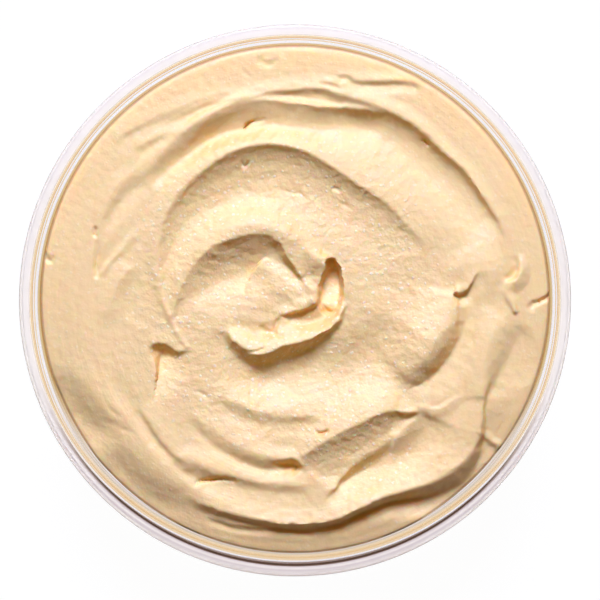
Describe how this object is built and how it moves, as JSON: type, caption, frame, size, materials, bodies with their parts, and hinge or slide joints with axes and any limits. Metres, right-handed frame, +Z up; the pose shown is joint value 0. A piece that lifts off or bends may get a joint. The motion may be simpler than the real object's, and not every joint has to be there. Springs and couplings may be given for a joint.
{
  "type": "tub of hummus",
  "caption": "Clear round plastic tub filled with hummus, its surface swirled by a spoon into a spiral with a curl in the middle.",
  "frame": {"origin": "middle of the tub's underside, on the surface that it stands on", "axes": "+Z up; +Y toward the side where the two outer crests lie, +X a quarter turn clockwise from it seen from above"},
  "size_m": [0.118, 0.118, 0.046],
  "materials": {
    "clear_plastic": "clear and glossy, thin",
    "hummus": "moist, fine-grained paste with small wet specks"
  },
  "bodies": {
    "root": {"tub": "clear_plastic", "hummus": "hummus"}
  },
  "joints": []
}
